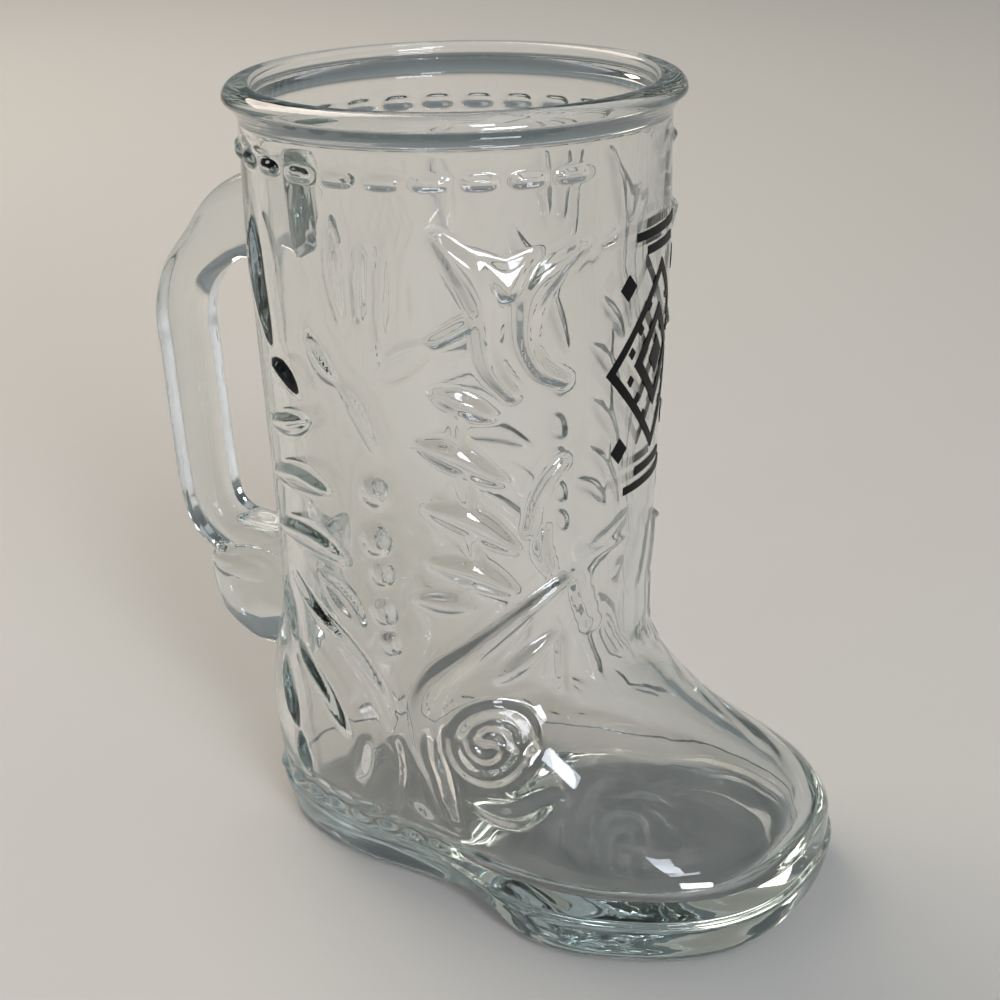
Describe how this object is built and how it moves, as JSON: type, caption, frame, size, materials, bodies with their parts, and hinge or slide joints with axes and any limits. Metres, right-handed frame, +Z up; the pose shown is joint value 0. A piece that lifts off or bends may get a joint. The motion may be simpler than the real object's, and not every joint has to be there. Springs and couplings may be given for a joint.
{
  "type": "boot-shaped glass mug",
  "caption": "Clear pressed-glass mug in the shape of a western boot, with a rolled rim, loop handle with a spur, raised ornament and a printed mark on the leg.",
  "frame": {"origin": "on the table plane, on the axis of the round leg, under the front of the heel", "axes": "+X towards the toe, +Z up, +Y to the boot's left seen from behind"},
  "size_m": [0.1465, 0.086, 0.156],
  "materials": {
    "clear_glass": "fire-polished pressed soda-lime glass, clear with a faint grey-green tint",
    "black_print": "fired-on black print"
  },
  "bodies": {
    "root": {"rim_bead": "clear_glass", "leg_wall": "clear_glass", "foot_wall": "clear_glass", "sole_plate": "clear_glass", "heel_block": "clear_glass", "handle_grip": "clear_glass", "handle_spur": "clear_glass", "stitch_bars": "clear_glass", "tassel_leaves": "clear_glass", "wing_leaves": "clear_glass", "scroll_leaves": "clear_glass", "ladder_leaves": "clear_glass", "bead_columns": "clear_glass", "instep_scrolls": "clear_glass", "heel_plumes": "clear_glass", "welt_beads": "clear_glass", "front_print": "black_print"}
  },
  "joints": []
}
